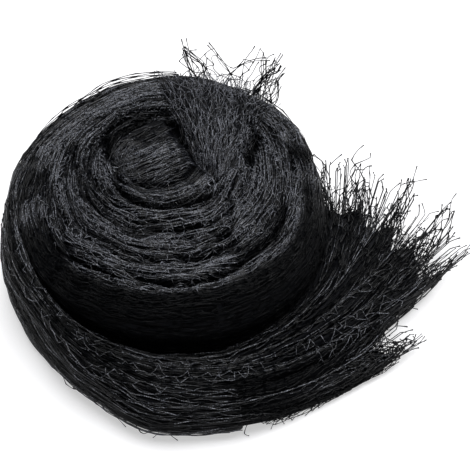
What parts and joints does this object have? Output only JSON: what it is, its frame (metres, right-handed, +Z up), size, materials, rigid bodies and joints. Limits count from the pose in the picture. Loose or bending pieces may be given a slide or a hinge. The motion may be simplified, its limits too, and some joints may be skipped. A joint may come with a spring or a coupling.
{
  "type": "rolled length of garden bird netting",
  "caption": "Length of fine square-mesh netting gathered into a band and wound flat into a roll, with a fanned loose outer end and a loose inner end over its top.",
  "frame": {"origin": "middle of the bounding box at floor level, under the roll", "axes": "+Z up from the floor; +X towards the fanned outer end; the longest side of the heap lies along X"},
  "size_m": [0.4559, 0.4079, 0.137],
  "materials": {
    "wound_netting": "black polyethylene twine, knotted into netting, slight sheen",
    "outer_end_netting": "black polyethylene twine, knotted into netting, slight sheen",
    "inner_end_netting": "black polyethylene twine, knotted into netting, slight sheen"
  },
  "bodies": {
    "root": {"net_roll": "wound_netting", "outer_end": "outer_end_netting", "inner_end": "inner_end_netting"}
  },
  "joints": []
}
